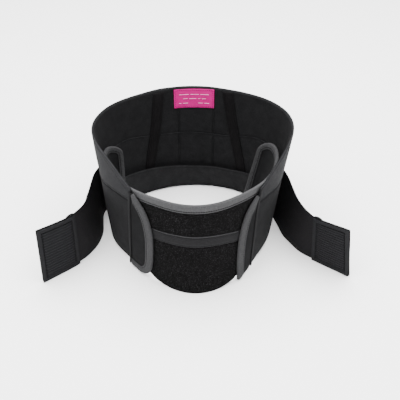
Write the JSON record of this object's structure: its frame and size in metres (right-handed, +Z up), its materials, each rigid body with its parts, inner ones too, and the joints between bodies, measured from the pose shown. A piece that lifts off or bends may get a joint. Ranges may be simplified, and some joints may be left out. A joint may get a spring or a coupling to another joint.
{
  "type": "maternity support belt",
  "caption": "Wide wrap-round maternity support belt standing open: tall laminated back, overlapping bound front flaps, cupped belly panel and two side straps with hook tabs.",
  "frame": {"origin": "centre of the bounding box's bottom face, on the surface the belt stands on", "axes": "+Z up, the belly panel faces -Y, +X to the right seen from the front, toward the right side strap"},
  "size_m": [0.4828, 0.2974, 0.202],
  "materials": {
    "lower_laminate": "matt brushed knit laminated on foam",
    "upper_laminate": "matt brushed knit laminated on foam",
    "lining": "soft matt lining knit",
    "hem": "matt padded knit strip",
    "stay_channel": "smooth woven channel over a flat stay",
    "label": "printed satin",
    "flap_laminate": "matt brushed knit laminated on foam",
    "binding": "soft folded elastic binding",
    "seam_tape": "narrow stitched tape",
    "loop_velour": "brushed loop pile",
    "mid_band_elastic": "folded elastic band",
    "woven_elastic": "woven elastic webbing",
    "hook_tape": "fine hook tape",
    "protector_elastic": "ribbed elastic with a turned border"
  },
  "bodies": {
    "root": {"lower_band": "lower_laminate", "upper_band": "upper_laminate", "lining_lower": "lining", "lining_upper": "lining", "inner_hem": "hem", "stay_left": "stay_channel", "stay_right": "stay_channel", "label": "label", "left_flap": "flap_laminate", "left_flap_binding": "binding", "left_flap_seam": "seam_tape", "right_flap": "flap_laminate", "right_flap_binding": "binding", "right_flap_seam": "seam_tape", "belly_panel": "flap_laminate", "belly_binding": "binding", "belly_loop_upper": "loop_velour", "belly_loop_lower": "loop_velour", "belly_mid_band": "mid_band_elastic", "side_strap_left": "woven_elastic", "hook_tab_left": "hook_tape", "clothing_protector_left": "protector_elastic", "side_strap_right": "woven_elastic", "hook_tab_right": "hook_tape", "clothing_protector_right": "protector_elastic"}
  },
  "joints": []
}
